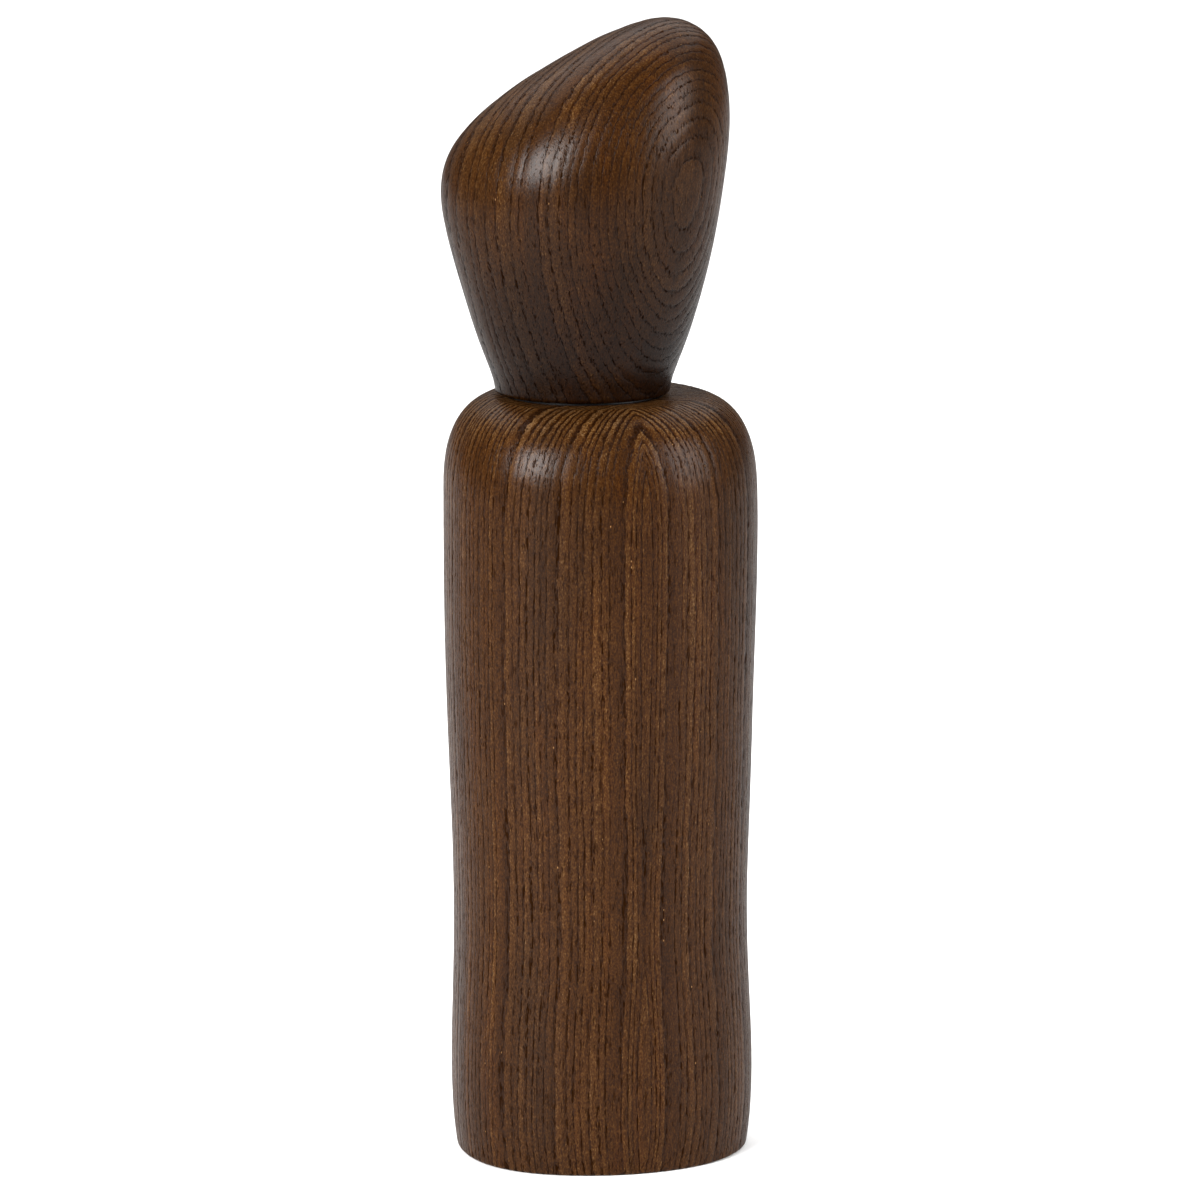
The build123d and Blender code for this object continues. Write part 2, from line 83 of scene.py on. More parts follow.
# ---------------------------------------------------------------- growth rings
# Rings are cylinders about a nearly vertical pith outside the piece.  "towards" is its direction
# from the piece's middle, in degrees from the viewer towards +X.  "bow" bends it away above and
# below a height.  The ring spacing goes from "near" to "far" over the depth "change".
BODY_GRAIN = {
    "middle": (4.0 * MM, 0.0, 100 * MM),
    "towards": 17.5,
    "pith": 90 * MM,
    "lean": (0.004, -0.012),
    "bow": (0.0, 0.0),
    "near": 1.75 * MM,
    "far": 1.65 * MM,
    "change": 14 * MM,
    "ridge": 0.70,
    "drift": 0.40 * MM,
    "uneven": 0.9,
    "start": 0.0,
    "seed": 4,
}
HEAD_GRAIN = {
    "middle": (0.0, 0.0, 211 * MM),
    "towards": 50.0,
    "pith": 85 * MM,
    "lean": (0.030, -0.106),
    "bow": (4.6, 7 * MM),
    "near": 0.42 * MM,
    "far": 4.2 * MM,
    "change": 30 * MM,
    "ridge": 0.0,
    "drift": 0.40 * MM,
    "uneven": 0.45,
    "start": 0.45,
    "seed": 11,
}
PIECE_REACH = 33 * MM  # from the middle of a piece to its side nearest the pith
RIDGE_ROUND = 0.35 * MM
RIDGE_REACH = 18 * MM  # how far to either side the rings of the body are drawn to a ridge
RELIEF = 0.06 * MM  # how far the latewood stands above the earlywood
RELIEF_LIMIT = 0.36  # rings between neighbouring grid points at which the relief is left out
RELIEF_FADE = 0.2  # rings below that limit over which it comes in
RELIEF_SHIFT = 0.15  # of a ring, from its start to the deepest line of the earlywood


def wander(t, wavelengths, rng):
    """Smooth irregular function of t between about -1 and 1."""
    total = np.zeros_like(t)
    weight = 0.0
    for length in wavelengths:
        share = length ** 0.5
        total += share * np.sin(2 * pi * t / length + rng.uniform(0, 2 * pi))
        weight += share
    return total / weight


def ring_phase(points, grain):
    """Number of growth rings between the side nearest the pith and each point."""
    rng = np.random.default_rng(grain["seed"])
    middle = np.array(grain["middle"])
    a = radians(grain["towards"])
    pith = middle[:2] + grain["pith"] * np.array([sin(a), -cos(a)])
    z = points[:, 2] - middle[2]
    lean_x, lean_y = grain["lean"]
    across = points[:, 0] - pith[0] - lean_x * z
    deep = points[:, 1] - pith[1] - lean_y * z
    depth = np.hypot(across, deep) - (grain["pith"] - PIECE_REACH)
    around = (np.arctan2(across, deep) + a) * grain["pith"]
    ridge = RIDGE_REACH * np.tanh(np.hypot(around, RIDGE_ROUND) / RIDGE_REACH)
    depth += grain["ridge"] * ridge
    depth += grain["bow"][0] * (z - grain["bow"][1]) ** 2
    depth += grain["drift"] * wander(z, (190 * MM, 97 * MM, 61 * MM, 27 * MM), rng)
    depth += grain["drift"] * wander(around + 0.25 * z, (71 * MM, 43 * MM, 27 * MM), rng)
    # the integral of 1 / spacing, where spacing goes from near to far as an exponential
    share = 1 - grain["near"] / grain["far"]
    bend = grain["change"] * np.log(1 - share * np.exp(-np.maximum(depth, 0) / grain["change"]))
    phase = (depth + bend) / grain["far"]
    phase += grain["uneven"] * wander(depth, (23 * MM, 11 * MM, 6.1 * MM), rng)
    return phase + grain["start"]


# ---------------------------------------------------------------- structured meshes
def smooth_round(radii, harmonics):
    """Keeps the low harmonics of each row of a closed outline, which removes facets."""
    spectrum = np.fft.rfft(radii, axis=1)
    spectrum[:, harmonics + 1:] = 0
    return np.fft.irfft(spectrum, radii.shape[1], axis=1)


def smooth_along(radii, sigma, weights):
    """Gaussian smoothing from row to row, where weights is 1."""
    reach = int(3 * sigma) + 1
    offsets = np.arange(-reach, reach + 1)
    kernel = np.exp(-0.5 * (offsets / sigma) ** 2)
    kernel /= kernel.sum()
    padded = np.pad(radii, ((reach, reach), (0, 0)), mode="reflect", reflect_type="odd")
    result = sum(k * padded[i:i + len(radii)] for i, k in enumerate(kernel))
    return radii + weights[:, None] * (result - radii)


CAST_FROM = 200 * MM  # outside every node


def cast(tree, origins, directions):
    """Distance from each origin to the CAD surface along each direction, the furthest hit."""
    distances = np.zeros(len(origins))
    for i, (o, d) in enumerate(zip(origins, directions)):
        start = Vector(o + CAST_FROM * d)
        hit, _, _, length = tree.ray_cast(start, Vector(-d))
        distances[i] = CAST_FROM - length if hit else np.nan
    return distances


def fan(tree, heights, tilts, middle_x, columns):
    """Casts rows of rays outwards from a vertical line; returns origins, directions and radii."""
    angles = 2 * pi * np.arange(columns) / columns
    rows = len(heights)
    tilts = np.broadcast_to(np.asarray(tilts).reshape(rows, -1), (rows, columns))
    directions = np.stack(
        [np.cos(tilts) * np.cos(angles), np.cos(tilts) * np.sin(angles), np.sin(tilts)], axis=-1
    )
    origins = np.zeros((rows, columns, 3))
    origins[..., 0] = middle_x
    origins[..., 2] = np.asarray(heights)[:, None]
    radii = cast(tree, origins.reshape(-1, 3), directions.reshape(-1, 3)).reshape(rows, columns)
    return origins, directions, radii


def rim(radius, z, columns, middle_x=0.0):
    """A row of points round the spindle axis, in the columns that a fan about middle_x has."""
    angles = 2 * pi * np.arange(columns) / columns
    away = np.stack([np.cos(angles), np.sin(angles)], axis=-1)
    # distance along each ray from (middle_x, 0) to the circle about the axis
    along = middle_x * away[:, 0]
    reach = -along + np.sqrt(along ** 2 - middle_x ** 2 + radius ** 2)
    points = np.zeros((columns, 3))
    points[:, 0] = middle_x + reach * away[:, 0]
    points[:, 1] = reach * away[:, 1]
    points[:, 2] = z
    return points


def skin(name, rows, closed):
    """Mesh from rows of points, each row a closed outline.

    closed joins the last row to the first; otherwise both ends are closed to a point.
    """
    columns = rows.shape[1]
    count = len(rows)
    verts = rows.reshape(-1, 3)
    index = np.arange(count * columns).reshape(count, columns)
    here = index if closed else index[:-1]
    above = np.roll(index, -1, axis=0) if closed else index[1:]
    quads = np.stack(
        [here, np.roll(here, -1, axis=1), np.roll(above, -1, axis=1), above], axis=-1
    ).reshape(-1, 4)
    faces = quads.tolist()
    if not closed:
        first, last = len(verts), len(verts) + 1
        verts = np.vstack([verts, rows[0].mean(0), rows[-1].mean(0)])
        for i in range(columns):
            j = (i + 1) % columns
            faces.append([index[0][j], index[0][i], first])
            faces.append([index[-1][i], index[-1][j], last])
    mesh = bpy.data.meshes.new(name)
    mesh.from_pydata(verts.tolist(), [], faces)
    mesh.validate()
    mesh.update()
    obj = bpy.data.objects.new(name, mesh)
    bpy.context.scene.collection.objects.link(obj)
    return obj


def row_normals(rows):
    """Outward normals of a grid of points."""
    across = np.roll(rows, -1, axis=1) - np.roll(rows, 1, axis=1)
    along = np.gradient(rows, axis=0)
    normals = np.cross(across, along)
    return normals / np.maximum(np.linalg.norm(normals, axis=-1, keepdims=True), 1e-12)


def add_relief(rows, grain, fade):
    """Presses the earlywood of the outer rows in, where the grid is fine enough to carry it."""
    phase = ring_phase(rows.reshape(-1, 3), grain).reshape(rows.shape[:2])
    step = np.maximum(
        np.abs(np.roll(phase, -1, axis=1) - phase), np.abs(np.gradient(phase, axis=0))
    )
    carry = np.clip((RELIEF_LIMIT - step) / RELIEF_FADE, 0, 1)
    wave = 0.5 + 0.5 * np.cos(2 * pi * (phase - RELIEF_SHIFT))
    depth = RELIEF * wave * carry * fade[:, None]
    return rows - row_normals(rows) * depth[..., None]


def set_phase(obj, grain):
    """Stores the ring count at each vertex for the material."""
    co = np.zeros(len(obj.data.vertices) * 3)
    obj.data.vertices.foreach_get("co", co)
    phase = ring_phase(co.reshape(-1, 3), grain)
    attribute = obj.data.attributes.new("ring", "FLOAT", "POINT")
    attribute.data.foreach_set("value", phase.astype(np.float32))


def tree_of(node):
    """Ray-casting tree of a CAD node."""
    depsgraph = bpy.context.evaluated_depsgraph_get()
    return BVHTree.FromObject(NODES[node], depsgraph)


# Rows are counted from the bottom.  Smoothing from row to row starts above the rounded edge.
BODY_COLUMNS = 480
BODY_HARMONICS = 9
BODY_EDGE_HEIGHTS = np.array([0.03, 0.12, 0.3, 0.55, 0.85, 1.2, 1.7, 2.3, 3.1, 4.1]) * MM
WALL_START = 5.2 * MM
WALL_STEP = 1.2 * MM
SHOULDER_FAN_Z = 140 * MM
SHOULDER_ROWS = 72
SHOULDER_END = BODY_TOP - 0.06 * MM
BODY_SMOOTH_ROWS = 3.0
BODY_SMOOTH_START, BODY_SMOOTH_FADE = 9, 8
BODY_SMOOTH_END_FADE = 6
BODY_RELIEF_FADE = 6
FOOT_SHRINK = 0.004
TOP_STEPS = (0.04, 0.15, 0.35, 0.6, 0.85, 1.0)  # from the outer edge of the flat top to its bore


def body_rays(tree):
    """Heights and tilts of the rows of rays: level up the wall, then tilting over the shoulder."""
    cols = BODY_COLUMNS
    wall_heights = np.arange(WALL_START, SHOULDER_FAN_Z - 0.5 * WALL_STEP, WALL_STEP)
    level = np.concatenate([BODY_EDGE_HEIGHTS, wall_heights])
    _, _, rim_radii = fan(tree, [SHOULDER_END], [[0.0]], BODY_MIDDLE_X, cols)
    rim_radii = smooth_round(rim_radii, BODY_HARMONICS)[0]
    steepest = np.arctan2(BODY_TOP - SHOULDER_FAN_Z, rim_radii)
    share = np.linspace(0, 1, SHOULDER_ROWS)
    heights = np.concatenate([level, np.full(SHOULDER_ROWS, SHOULDER_FAN_Z)])
    tilts = np.concatenate([np.zeros((len(level), cols)), share[:, None] * steepest])
    return heights, tilts


def body_outside():
    """Rows over the base edge, wall and shoulder, cast on the CAD body, with the grain's relief."""
    tree = tree_of("body_shell")
    heights, tilts = body_rays(tree)
    origins, directions, radii = fan(tree, heights, tilts, BODY_MIDDLE_X, BODY_COLUMNS)
    radii = smooth_round(radii, BODY_HARMONICS)
    row = np.arange(len(radii))
    weights = np.clip((row - BODY_SMOOTH_START) / BODY_SMOOTH_FADE, 0, 1)
    weights *= np.clip((len(radii) - 1 - row) / BODY_SMOOTH_END_FADE, 0, 1)
    radii = smooth_along(radii, BODY_SMOOTH_ROWS, weights)
    outer = origins + directions * radii[..., None]
    outer[-1, :, 2] = BODY_TOP
    return add_relief(outer, BODY_GRAIN, np.clip(row / BODY_RELIEF_FADE, 0, 1))


def body_inside():
    """Rows down the bore for the glide ring, the reservoir and the seats of the housing."""
    bores = [
        (GLIDE_SEAT_R, GLIDE_LOW.z),
        (RESERVOIR_R, GLIDE_LOW.z),
        (RESERVOIR_R, GLIDE_LOW.z - 1 * MM),
        (RESERVOIR_R, BARREL_BORE_TOP + 1 * MM),
        (RESERVOIR_R, BARREL_BORE_TOP),
        (BARREL_BORE_R, BARREL_BORE_TOP),
        (BARREL_BORE_R, FLANGE_BORE_TOP),
        (FLANGE_BORE_R, FLANGE_BORE_TOP),
        (FLANGE_BORE_R, FLANGE_BORE_TOP - 1 * MM),
        (FLANGE_BORE_R, 0.3 * MM),
        (FLANGE_BORE_R + 0.3 * MM, 0.0),
    ]
    return np.array([rim(r, z, BODY_COLUMNS, BODY_MIDDLE_X) for r, z in bores])


def make_body():
    """The wooden body, in one closed skin: its outside, its flat top and its bores."""
    outer = body_outside()
    foot = outer[:1].copy()
    foot[..., 2] = 0.0
    foot[0, :, :2] -= (foot[0, :, :2] - [BODY_MIDDLE_X, 0]) * FOOT_SHRINK
    seat = rim(GLIDE_SEAT_R, BODY_TOP, BODY_COLUMNS, BODY_MIDDLE_X)
    flat_top = np.array([outer[-1] + (seat - outer[-1]) * t for t in TOP_STEPS])
    rows = np.concatenate([foot, outer, flat_top, body_inside()])
    body = skin("wooden_body", rows, closed=True)
    set_phase(body, BODY_GRAIN)
    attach(body, "mill_body")
    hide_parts("body_shell")
    return body


HEAD_COLUMNS = 420
HEAD_ROWS = 214
HEAD_HARMONICS = 12
HEAD_EDGE_HEIGHTS = HEAD_BASE + np.array([0.02, 0.1, 0.25, 0.45, 0.7, 1.0, 1.4]) * MM
HEAD_FOOT_Z = HEAD_BASE + 1.9 * MM
HEAD_FAN_Z = 213 * MM
HEAD_SMOOTH_ROWS = 2.5
HEAD_SMOOTH_FADE = 8
HEAD_RELIEF_START, HEAD_RELIEF_FADE = 2, 6
HEAD_RELIEF_END_FADE = 10


def head_rays(tree):
    """Heights and tilts of the rows of rays: level at the foot's edge, then fanning to the top."""
    _, _, foot_radii = fan(tree, [HEAD_FOOT_Z], [[0.0]], 0.0, HEAD_COLUMNS)
    start = atan2(HEAD_FOOT_Z - HEAD_FAN_Z, float(foot_radii.mean()))
    turn = np.linspace(start, 0.5 * pi, HEAD_ROWS + 1)[:-1]
    heights = np.concatenate([HEAD_EDGE_HEIGHTS, np.full(HEAD_ROWS, HEAD_FAN_Z)])
    tilts = np.concatenate([np.zeros(len(HEAD_EDGE_HEIGHTS)), turn])[:, None]
    return heights, tilts


def head_outside():
    """Rows from the edge of the head's foot to its top, cast on the CAD head, with the relief."""
    tree = tree_of("head_block")
    heights, tilts = head_rays(tree)
    origins, directions, radii = fan(tree, heights, tilts, 0.0, HEAD_COLUMNS)
    radii = smooth_round(radii, HEAD_HARMONICS)
    edge = len(HEAD_EDGE_HEIGHTS)
    weights = np.clip(np.arange(HEAD_ROWS) / HEAD_SMOOTH_FADE, 0, 1)
    radii[edge:] = smooth_along(radii[edge:], HEAD_SMOOTH_ROWS, weights)
    outer = origins + directions * radii[..., None]
    row = np.arange(len(outer))
    fade = np.clip((row - HEAD_RELIEF_START) / HEAD_RELIEF_FADE, 0, 1)
    fade *= np.clip((len(outer) - row) / HEAD_RELIEF_END_FADE, 0, 1)
    return add_relief(outer, HEAD_GRAIN, fade)


def head_inside():
    """Rows down the shaft's pocket and the stopper's bore, then round the tenon to the foot."""
    turned = [
        (0.2 * MM, POCKET_TOP),
        (POCKET_R, POCKET_TOP),
        (POCKET_R, STOPPER_HIGH.z + 0.5 * MM),
        (STOPPER_BORE_R, STOPPER_HIGH.z + 0.5 * MM),
        (STOPPER_BORE_R, HEAD_LOW.z),
        (TENON_R - TENON_EDGE, HEAD_LOW.z),
        (TENON_R, HEAD_LOW.z + TENON_EDGE),
        (TENON_R, HEAD_BASE - 0.5 * MM),
        (TENON_R, HEAD_BASE),
        (TENON_R + 1 * MM, HEAD_BASE),
        (TENON_R + 3 * MM, HEAD_BASE),
    ]
    return np.array([rim(r, z, HEAD_COLUMNS) for r, z in turned])


def make_head():
    """The wooden head, in one skin from the end of its pocket to its top."""
    rows = np.concatenate([head_inside(), head_outside()])
    head = skin("wooden_head", rows, closed=False)
    set_phase(head, HEAD_GRAIN)
    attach(head, "head")
    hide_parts("head_block")
    return head


# ---------------------------------------------------------------- material helpers
class Nodes:
    """Short names for building a node tree."""

    def __init__(self, name):
        self.material = bpy.data.materials.new(name)
        self.material.use_nodes = True
        self.tree = self.material.node_tree
        self.shader = self.tree.nodes["Principled BSDF"]

    def add(self, kind, **settings):
        node = self.tree.nodes.new(kind)
        for key, value in settings.items():
            setattr(node, key, value)
        return node

    def link(self, source, target):
        self.tree.links.new(source, target)

    def feed(self, socket, value):
        if isinstance(value, bpy.types.NodeSocket):
            self.link(value, socket)
        else:
            socket.default_value = value

    def math(self, operation, a, b=0.0, c=0.0, clamp=False):
        node = self.add("ShaderNodeMath", operation=operation, use_clamp=clamp)
        for socket, value in zip(node.inputs, (a, b, c)):
            self.feed(socket, value)
        return node.outputs[0]

    def place(self):
        """Coordinates of the piece in metres, which stay with it as it moves."""
        return self.add("ShaderNodeTexCoord").outputs["Object"]

    def stretched(self, vector, size):
        """Coordinates counted in cells of this size in metres along X, Y and Z."""
        node = self.add("ShaderNodeVectorMath", operation="DIVIDE")
        self.feed(node.inputs[0], vector)
        node.inputs[1].default_value = size
        return node.outputs[0]

    def noise(self, vector, detail=2.0, roughness=0.5):
        node = self.add("ShaderNodeTexNoise")
        self.feed(node.inputs["Vector"], vector)
        node.inputs["Scale"].default_value = 1.0
        node.inputs["Detail"].default_value = detail
        node.inputs["Roughness"].default_value = roughness
        return node.outputs["Fac"]

    def cells(self, vector):
        node = self.add("ShaderNodeTexVoronoi", feature="F1")
        self.feed(node.inputs["Vector"], vector)
        node.inputs["Scale"].default_value = 1.0
        return node

    def smooth(self, value, low, high, to_low=0.0, to_high=1.0):
        """Soft step from to_low to to_high as value goes from low to high."""
        node = self.add("ShaderNodeMapRange", interpolation_type="SMOOTHSTEP")
        self.feed(node.inputs["Value"], value)
        for key, number in (
            ("From Min", low), ("From Max", high), ("To Min", to_low), ("To Max", to_high)
        ):
            self.feed(node.inputs[key], number)
        return node.outputs["Result"]

    def ramp(self, value, stops):
        node = self.add("ShaderNodeValToRGB")
        self.feed(node.inputs[0], value)
        elements = node.color_ramp.elements
        while len(elements) < len(stops):
            elements.new(0.5)
        for element, (place, color) in zip(elements, stops):
            element.position = place
            element.color = (*color, 1.0)
        return node.outputs[0]

    def mix(self, factor, a, b, blend="MIX"):
        node = self.add("ShaderNodeMix", data_type="RGBA", blend_type=blend)
        self.feed(node.inputs[0], factor)
        for socket, value in ((node.inputs[6], a), (node.inputs[7], b)):
            self.feed(socket, (*value, 1.0) if isinstance(value, tuple) else value)
        return node.outputs[2]

    def bump(self, height, distance, strength=1.0):
        node = self.add("ShaderNodeBump")
        self.feed(node.inputs["Height"], height)
        node.inputs["Distance"].default_value = distance
        node.inputs["Strength"].default_value = strength
        return node.outputs[0]

    def set(self, **values):
        """Feeds the shader's inputs, named with underscores for spaces."""
        for key, value in values.items():
            self.feed(self.shader.inputs[key.replace("_", " ")], value)


# ---------------------------------------------------------------- materials
WOOD_PORE = (0.0085, 0.0028, 0.0005)
WOOD_DARK = (0.0115, 0.0037, 0.0006)
WOOD_EARLY = (0.0195, 0.0067, 0.0010)
WOOD_MID = (0.0295, 0.0106, 0.0017)
WOOD_LATE = (0.0500, 0.0222, 0.0060)
WOOD_TAN = (0.0920, 0.0520, 0.0220)
WOOD_FLECK = (0.22, 0.120, 0.050)
WARM = (1.06, 1.0, 0.82)
GREY = (0.93, 0.99, 1.20)
# The earlywood takes up the share "early" of a ring, and up to "spread" more.  "pores" is how dark
# its pores are, and "end_pores" what is left of that where the wood is cut across its fibres.
# There the earlywood is darker by "end_contrast", and all of the wood lighter by a share of that,
# partly the end grain's own lightness and partly a painted highlight on the level faces.
# "foot" gives the heights between which a piece goes from its shaded foot tone to its own tone, if
# it
# has both: painted shade, darker towards the foot where the head's taper faces down.
BODY_ASH = {
    "early": 0.26,
    "spread": 0.20,
    "pores": 0.86,
    "end_pores": 1.0,
    "end_contrast": 0.58,
    "tone": (0.96, 0.89, 0.80),
}
HEAD_ASH = {
    "early": 0.18,
    "spread": 0.14,
    "pores": 0.84,
    "end_pores": 0.40,
    "end_contrast": 0.26,
    "tone": (0.89, 0.83, 0.76),
    # painted shade: the head goes darker towards its foot
    "shaded_foot_tone": (0.25, 0.205, 0.15),
    "foot": (172 * MM, 238 * MM),
}
BEND_SIZE = (1.6 * MM, 1.6 * MM, 16 * MM)
FRAY_SIZE = (0.5 * MM, 0.5 * MM, 3.2 * MM)
ROW_SIZE = (0.40 * MM, 0.40 * MM, 2.1 * MM)
PATCH_SIZE = (2.4 * MM, 2.4 * MM, 34 * MM)
SINGLE_SIZE = (0.40 * MM, 0.40 * MM, 2.4 * MM)
SPECKLE_SIZE = (0.27 * MM, 0.27 * MM, 0.6 * MM)
FIBRE_SIZE = (0.28 * MM, 0.28 * MM, 3.4 * MM)
LINE_SIZE = (0.85 * MM, 0.85 * MM, 26 * MM)
STREAK_SIZE = (3.0 * MM, 3.0 * MM, 55 * MM)
CLOUD_SIZE = (15 * MM, 15 * MM, 60 * MM)
FLECK_SIZE = (0.9 * MM, 0.9 * MM, 1.8 * MM)
BEND_SHARE = 0.55  # of a ring, by which the rings bend and fray at random
FRAY_SHARE = 0.40
END_WIDTH = 0.16  # how much wider the earlywood looks where it is cut across its fibres
END_AND_HIGHLIGHT_LIFT = 0.55  # share of the end contrast by which all of the wood is lighter there: end grain and painted highlight
SINGLE_DARK = 0.75  # how dark the small single pores are, beside those in rows
BASE_TONE = 0.315
RING_RISE = 0.16  # how much lighter a ring is at its end than at its start
EARLY_TONE = -0.12
YEAR_SPREAD = 0.22  # how much the rings differ from each other
TONE_NOISE = (  # size of the cells, detail and share
    (SPECKLE_SIZE, 1, 1.45),
    (FIBRE_SIZE, 3, 0.85),
    (LINE_SIZE, 3, 0.48),
    (STREAK_SIZE, 2, 0.36),
    (CLOUD_SIZE, 2, 0.45),
)
PORE_OPEN = 0.95  # how much of the oil's shine is missing in a pore
WOOD_ROUGHNESS, PORE_ROUGHNESS = 0.36, 0.25
WOOD_BUMP, WOOD_BUMP_STRENGTH = 0.18 * MM, 0.9
WOOD_SPECULAR = 0.012
OIL_WEIGHT, OIL_ROUGHNESS = 0.15, 0.26
OIL_BUMP, OIL_BUMP_STRENGTH = 0.05 * MM, 0.6


def centred(n, place, size, detail=2, roughness=0.5):
    """Noise about zero, in cells of a size."""
    value = n.noise(n.stretched(place, size), detail=detail, roughness=roughness)
    return n.math("SUBTRACT", value, 0.5)


def end_grain(n):
    """How far the surface is cut across the fibres, from 0 on the walls to 1 on level faces."""
    parts = n.add("ShaderNodeSeparateXYZ")
    n.link(n.add("ShaderNodeTexCoord").outputs["Normal"], parts.inputs[0])
    return n.smooth(n.math("ABSOLUTE", parts.outputs["Z"]), 0.22, 0.80)


def ring_parts(n, place, ash):
    """Where a point lies in its growth ring, how much of it is earlywood, and the ring's chance."""
    ring = n.add("ShaderNodeAttribute", attribute_name="ring").outputs["Fac"]
    ring = n.math("MULTIPLY_ADD", centred(n, place, BEND_SIZE), BEND_SHARE, ring)
    ring = n.math("MULTIPLY_ADD", centred(n, place, FRAY_SIZE), FRAY_SHARE, ring)
    year = n.math("FLOOR", ring)
    part = n.math("SUBTRACT", ring, year)
    chance = n.add("ShaderNodeTexWhiteNoise", noise_dimensions="1D")
    n.link(year, chance.inputs["W"])
    chance = chance.outputs["Value"]
    width = n.math("MULTIPLY_ADD", chance, ash["spread"], ash["early"])
    width = n.math("MULTIPLY_ADD", end_grain(n), END_WIDTH, width)
    early = n.smooth(part, n.math("MULTIPLY", width, 0.45), width, 1.0, 0.0)
    early = n.math("MULTIPLY", early, n.smooth(part, 0.0, 0.07))
    return part, early, chance


def pore_mask(n, place, early):
    """Rows of long open pores in the earlywood, fainter in places, and small single ones."""
    rows = n.smooth(n.noise(n.stretched(place, ROW_SIZE), detail=1), 0.48, 0.56)
    plain = n.smooth(centred(n, place, PATCH_SIZE), -0.12, 0.04, 0.6, 1.0)
    rows = n.math("MULTIPLY", n.math("MULTIPLY", rows, plain), early)
    single = n.smooth(n.noise(n.stretched(place, SINGLE_SIZE), detail=1), 0.62, 0.72)
    return n.math("MAXIMUM", rows, n.math("MULTIPLY", single, SINGLE_DARK))


def light_flecks(n, place, early):
    """A few pale grains left in the pores."""
    cells = n.cells(n.stretched(place, FLECK_SIZE))
    lucky = n.add("ShaderNodeSeparateColor")
    n.link(cells.outputs["Color"], lucky.inputs[0])
    near = n.smooth(cells.outputs["Distance"], 0.06, 0.18, 1.0, 0.0)
    chosen = n.smooth(lucky.outputs[0], 0.93, 0.96)
    return n.math("MULTIPLY", n.math("MULTIPLY", chosen, near), n.math("SQRT", early))


def wood_tone(n, place, part, early, chance, end_contrast):
    """Lightness of the stained wood between its pores, about 0 to 1, lighter on level faces partly
    as a painted highlight.
    """
    value = n.math("MULTIPLY_ADD", part, RING_RISE, BASE_TONE)
    contrast = n.math("MULTIPLY_ADD", end_grain(n), -end_contrast, EARLY_TONE)
    value = n.math("ADD", value, n.math("MULTIPLY", early, contrast))
    # lighter on level faces: partly the end grain, partly a painted highlight
    value = n.math("MULTIPLY_ADD", end_grain(n), END_AND_HIGHLIGHT_LIFT * end_contrast, value)
    value = n.math("MULTIPLY_ADD", n.math("SUBTRACT", chance, 0.5), YEAR_SPREAD, value)
    for size, detail, share in TONE_NOISE:
        value = n.math("MULTIPLY_ADD", centred(n, place, size, detail, 0.6), share, value)
    return n.math("ADD", value, 0.0, clamp=True)


def wood_color(n, place, value, pore, ash):
    """Stained colour, warmer in some broad streaks and greyer in others."""
    colors = (WOOD_DARK, WOOD_EARLY, WOOD_MID, WOOD_LATE, WOOD_TAN)
    stops = list(zip((0.0, 0.25, 0.5, 0.8, 1.0), colors))
    color = n.ramp(value, stops)
    warm = n.smooth(centred(n, place, STREAK_SIZE), 0.0, 0.16)
    color = n.mix(warm, color, n.mix(1.0, color, WARM, blend="MULTIPLY"))
    grey = n.smooth(centred(n, place, CLOUD_SIZE), 0.02, -0.16)
    color = n.mix(grey, color, n.mix(1.0, color, GREY, blend="MULTIPLY"))
    left = n.math("MULTIPLY_ADD", end_grain(n), ash["end_pores"] - 1.0, 1.0)
    left = n.math("MULTIPLY", left, ash["pores"])
    return n.mix(n.math("MULTIPLY", pore, left), color, WOOD_PORE)


def piece_tone_and_shade(n, place, ash):
    """The tone that tints a whole piece, darkened by painted shade towards its foot if it has a
    shaded foot tone.
    """
    if "shaded_foot_tone" not in ash:
        return ash["tone"]
    parts = n.add("ShaderNodeSeparateXYZ")
    n.link(place, parts.inputs[0])
    # painted shade, from dark at the foot to the piece's own tone higher up
    share = n.smooth(parts.outputs["Z"], *ash["foot"])
    return n.mix(share, ash["shaded_foot_tone"], ash["tone"])


def wood_height(n, pore, early, value):
    """Height of the fine relief: pores lowest, then earlywood, and lighter fibres a little up."""
    height = n.math("MULTIPLY", pore, -1.0)
    height = n.math("MULTIPLY_ADD", early, -0.4, height)
    return n.math("MULTIPLY_ADD", value, 0.5, height)


def dark_ash(name, ash):
    """Dark-stained ash with open pores under a satin oil."""
    n = Nodes(name)
    place = n.place()
    part, early, chance = ring_parts(n, place, ash)
    pore = pore_mask(n, place, early)
    value = wood_tone(n, place, part, early, chance, ash["end_contrast"])
    color = wood_color(n, place, value, pore, ash)
    color = n.mix(light_flecks(n, place, early), color, WOOD_FLECK)
    height = wood_height(n, pore, early, value)
    filled = n.math("SUBTRACT", 1.0, n.math("MULTIPLY", pore, PORE_OPEN))
    n.set(
        Base_Color=n.mix(1.0, color, piece_tone_and_shade(n, place, ash), blend="MULTIPLY"),
        Roughness=n.math("MULTIPLY_ADD", pore, PORE_ROUGHNESS, WOOD_ROUGHNESS),
        Normal=n.bump(height, WOOD_BUMP, WOOD_BUMP_STRENGTH),
        Specular_IOR_Level=n.math("MULTIPLY", filled, WOOD_SPECULAR),
        Coat_Weight=n.math("MULTIPLY", filled, OIL_WEIGHT),
        Coat_Roughness=OIL_ROUGHNESS,
        Coat_Normal=n.bump(height, OIL_BUMP, OIL_BUMP_STRENGTH),
    )
    return n.material


